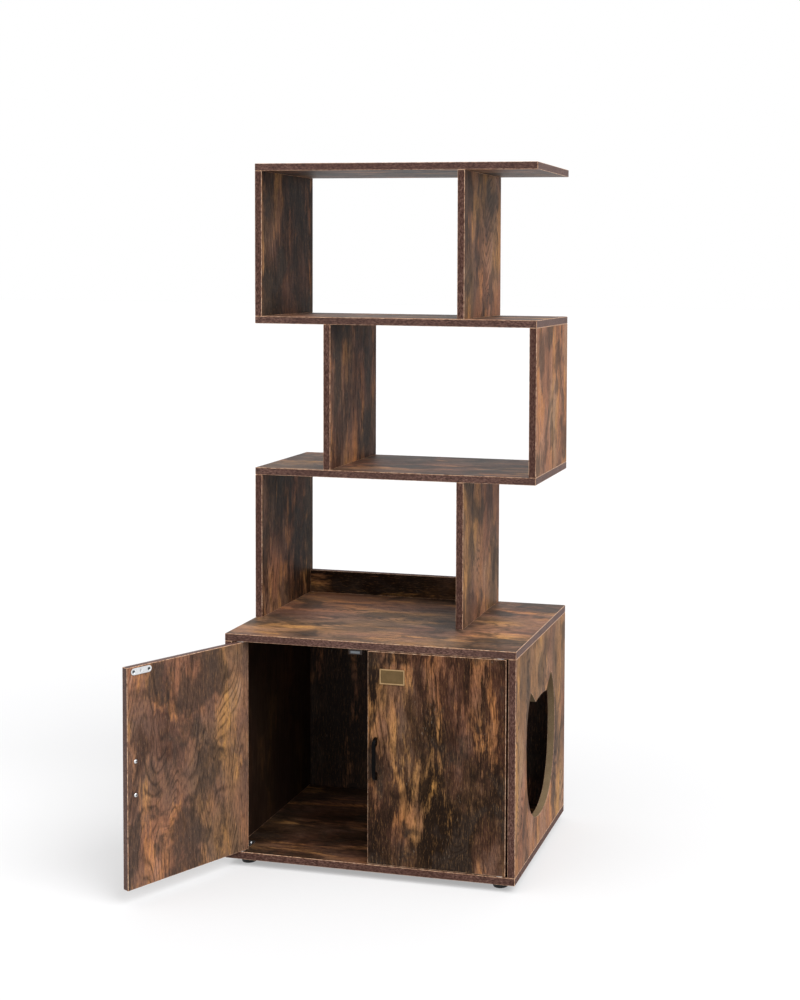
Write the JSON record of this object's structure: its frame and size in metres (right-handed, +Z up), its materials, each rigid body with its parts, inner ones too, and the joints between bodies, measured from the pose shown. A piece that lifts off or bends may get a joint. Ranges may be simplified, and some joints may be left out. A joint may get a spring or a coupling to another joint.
{
  "type": "cat litter box cabinet",
  "caption": "Hinged-door cabinet on low feet with a cat-head entrance in its side panel, a litter chamber inside and an open staggered bookshelf standing on the rear of its top.",
  "frame": {"origin": "on the floor, midway between the four feet, which is also the middle of the cabinet's width and depth", "axes": "+X to the right seen from the front, +Y to the back, +Z up"},
  "size_m": [0.7056, 0.6535, 1.412],
  "materials": {
    "board": "rustic brown laminate, low sheen",
    "hardboard": "dark matt hardboard",
    "black_metal": "satin black",
    "steel": "zinc plated, bright",
    "nylon": "natural, matt",
    "catch_plastic": "dark brown, matt",
    "black_plastic": "black, matt",
    "brass": "antique, with a lighter border"
  },
  "bodies": {
    "carcass": {"cabinet_top_board": "board", "cabinet_bottom_board": "board", "cabinet_left_side": "board", "cabinet_right_side": "board", "cabinet_back_panel": "hardboard", "tier_2_shelf": "board", "tier_3_shelf": "board", "top_shelf": "board", "level_2_left_upright": "board", "level_2_right_upright": "board", "level_3_left_upright": "board", "level_3_right_upright": "board", "level_4_left_upright": "board", "level_4_right_upright": "board", "back_rail": "board", "foot_front_left": "black_plastic", "foot_front_right": "black_plastic", "foot_back_left": "black_plastic", "foot_back_right": "black_plastic", "left_lower_pivot": "steel", "left_upper_pivot": "steel", "right_lower_pivot": "steel", "right_upper_pivot": "steel", "left_catch": "catch_plastic", "right_catch": "catch_plastic", "left_catch_magnet": "steel", "right_catch_magnet": "steel", "left_lower_pivot_screw": "steel", "left_upper_pivot_screw": "steel", "right_lower_pivot_screw": "steel", "right_upper_pivot_screw": "steel", "base_screw_front_left": "steel", "base_screw_front_right": "steel", "base_screw_back_left": "steel", "base_screw_back_right": "steel", "upright_screw_front": "steel", "upright_screw_back": "steel", "rail_screw_left": "steel", "rail_screw_right": "steel"},
    "left_leaf": {"left_door": "board", "left_lower_bush": "nylon", "left_upper_bush": "nylon", "left_strike_plate": "steel", "left_strike_screw_1": "steel", "left_strike_screw_2": "steel", "left_handle": "black_metal", "left_handle_screw_1": "steel", "left_handle_screw_2": "steel"},
    "right_leaf": {"right_door": "board", "right_lower_bush": "nylon", "right_upper_bush": "nylon", "right_strike_plate": "steel", "right_strike_screw_1": "steel", "right_strike_screw_2": "steel", "right_handle": "black_metal", "right_handle_screw_1": "steel", "right_handle_screw_2": "steel", "name_plate": "brass"}
  },
  "joints": [
    {"name": "left_door_hinge", "type": "hinge", "parent": "carcass", "child": "left_leaf", "pos_m": [-0.2685, -0.2025, 0.2425], "axis": [0, 0, -1], "range_deg": [-117.5, 7.5]},
    {"name": "right_door_hinge", "type": "hinge", "parent": "carcass", "child": "right_leaf", "pos_m": [0.2685, -0.2025, 0.2425], "axis": [0, 0, 1], "range_deg": [0, 125]}
  ]
}
